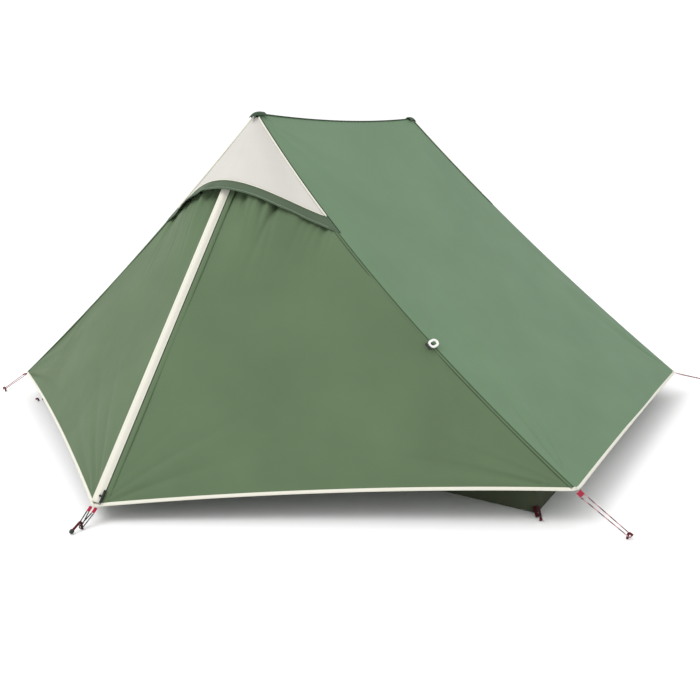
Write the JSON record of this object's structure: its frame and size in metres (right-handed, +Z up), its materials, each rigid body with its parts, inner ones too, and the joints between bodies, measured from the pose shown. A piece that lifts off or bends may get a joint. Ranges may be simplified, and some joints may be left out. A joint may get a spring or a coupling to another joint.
{
  "type": "ridge tent",
  "caption": "Two-pole ridge tent with sloping roof panels, zipped end vestibules under hoods, a hung inner tent with bathtub floor, guy lines and pegs.",
  "frame": {"origin": "on the ground, below the middle of the ridge", "axes": "+Z up, +Y along the ridge away from the front vestibule, +X across the tent"},
  "size_m": [2.686, 2.8872, 1.1344],
  "materials": {
    "fly_fabric": "coated taffeta, slight sheen",
    "door_fabric": "coated taffeta, slight sheen",
    "hood_fabric": "coated taffeta, slight sheen",
    "binding": "woven tape",
    "webbing": "woven webbing",
    "zip": "coil zip",
    "zip_slider": "painted",
    "guy_cord": "braided with a light fleck",
    "shock_cord": "braided elastic",
    "peg": "anodised, dark red",
    "elastic": "braided elastic",
    "toggle": "moulded",
    "floor_fabric": "coated, dark olive",
    "inner_fabric": "breathable weave",
    "pole": "glass fibre tube",
    "ferrule": "drawn tube",
    "rubber_parts": "moulded"
  },
  "bodies": {
    "shelter": {"apex_caps": "fly_fabric", "corner_tabs": "webbing", "fly_roof_left": "fly_fabric", "fly_roof_right": "fly_fabric", "front_brim": "fly_fabric", "front_gable": "door_fabric", "front_hood": "hood_fabric", "guy_line_front_left": "guy_cord", "guy_line_front_right": "guy_cord", "guy_line_rear_left": "guy_cord", "guy_line_rear_right": "guy_cord", "guy_pegs": "peg", "inner_corner_loops": "webbing", "inner_floor_tub": "floor_fabric", "inner_front_wall": "inner_fabric", "inner_hanging_straps": "inner_fabric", "inner_pegs": "peg", "inner_rear_wall": "inner_fabric", "inner_side_walls": "inner_fabric", "pole_bungees": "shock_cord", "pole_caps": "rubber_parts", "pole_feet": "rubber_parts", "pole_ferrules": "ferrule", "pole_sections": "pole", "rear_brim": "fly_fabric", "rear_gable": "door_fabric", "rear_hood": "hood_fabric", "shock_loop_front_left": "shock_cord", "shock_loop_front_right": "shock_cord", "shock_loop_rear_left": "shock_cord", "shock_loop_rear_right": "shock_cord", "side_hem_bindings": "binding", "tieback_loops": "elastic", "tieback_toggles": "toggle", "tip_pegs": "peg"},
    "front_right_door": {"door_front_right": "door_fabric", "door_hem_front_right": "binding", "door_tab_front_right": "webbing", "zip_chain_front_right": "zip"},
    "front_left_door": {"door_front_left": "door_fabric", "door_hem_front_left": "binding", "door_tab_front_left": "webbing", "zip_chain_front_left": "zip", "front_zip_flap": "binding"},
    "rear_right_door": {"door_hem_rear_right": "binding", "door_rear_right": "door_fabric", "door_tab_rear_right": "webbing", "zip_chain_rear_right": "zip", "rear_zip_flap": "binding"},
    "rear_left_door": {"door_hem_rear_left": "binding", "door_rear_left": "door_fabric", "door_tab_rear_left": "webbing", "zip_chain_rear_left": "zip"},
    "front_slider": {"front_zip_slider": "zip_slider"},
    "rear_slider": {"rear_zip_slider": "zip_slider"},
    "inner_front_door": {"inner_front_door": "inner_fabric"},
    "inner_rear_door": {"inner_rear_door": "inner_fabric"}
  },
  "joints": [
    {"name": "front_right_door_fold", "type": "hinge", "parent": "shelter", "child": "front_right_door", "pos_m": [0.00031, -0.75211, 0.86321], "axis": [-0.8365, -0.0519, 0.5454], "range_deg": [0, 130]},
    {"name": "front_left_door_fold", "type": "hinge", "parent": "shelter", "child": "front_left_door", "pos_m": [-0.00031, -0.75211, 0.86321], "axis": [-0.8365, 0.0519, -0.5454], "range_deg": [0, 130]},
    {"name": "rear_right_door_fold", "type": "hinge", "parent": "shelter", "child": "rear_right_door", "pos_m": [0.00031, 0.75211, 0.86321], "axis": [0.8365, -0.0519, -0.5454], "range_deg": [0, 130]},
    {"name": "rear_left_door_fold", "type": "hinge", "parent": "shelter", "child": "rear_left_door", "pos_m": [-0.00031, 0.75211, 0.86321], "axis": [0.8365, 0.0519, 0.5454], "range_deg": [0, 130]},
    {"name": "front_zip_slide", "type": "slide", "parent": "front_right_door", "child": "front_slider", "axis": [0, 0.5988, 0.8009], "range_m": [0, 0.915]},
    {"name": "rear_zip_slide", "type": "slide", "parent": "rear_left_door", "child": "rear_slider", "axis": [0, -0.5988, 0.8009], "range_m": [0, 0.915]},
    {"name": "inner_front_door_swing", "type": "hinge", "parent": "shelter", "child": "inner_front_door", "pos_m": [-0.44, -0.639, 0.1205], "axis": [0.5022, 0.1364, 0.8539], "range_deg": [0, 90]},
    {"name": "inner_rear_door_swing", "type": "hinge", "parent": "shelter", "child": "inner_rear_door", "pos_m": [0.44, 0.639, 0.1205], "axis": [-0.5022, -0.1364, 0.8539], "range_deg": [0, 90]}
  ]
}
